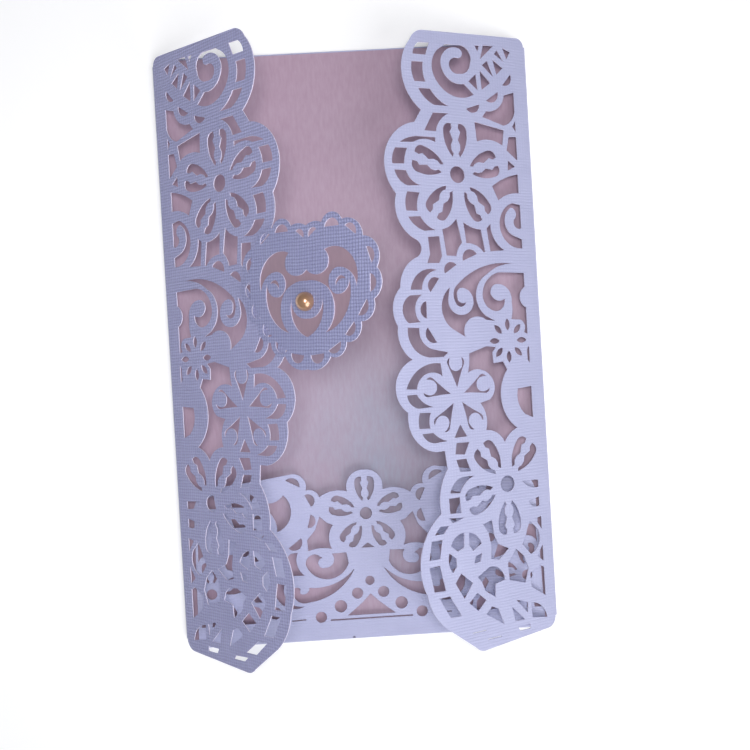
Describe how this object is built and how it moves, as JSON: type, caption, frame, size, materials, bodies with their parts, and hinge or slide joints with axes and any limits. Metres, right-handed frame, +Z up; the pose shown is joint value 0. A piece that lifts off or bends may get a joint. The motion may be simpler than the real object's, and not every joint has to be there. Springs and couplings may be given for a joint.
{
  "type": "lace gate-fold invitation card",
  "caption": "Gate-fold invitation card of cut lace card around a plain insert, with a pocket flap at its foot and a lace heart clasp with a pearl on one gate.",
  "frame": {"origin": "centre of the back panel's outer face, which lies on the table", "axes": "+X across the card to the right gate, +Y up the card away from the pocket flap, +Z up out of the table"},
  "size_m": [0.12, 0.1923, 0.0548],
  "materials": {
    "lilac_card": "pearlescent lilac card with a fine linen emboss",
    "pink_paper": "pearlescent dusty pink paper with a fine grain",
    "heart_card": "pearlescent lilac card",
    "backing_paper": "dusty pink paper",
    "pearl": "cream imitation pearl"
  },
  "bodies": {
    "root": {"lace_card": "lilac_card", "pink_insert": "pink_paper", "heart_medallion": "heart_card", "heart_backing": "backing_paper", "pearl": "pearl"}
  },
  "joints": []
}
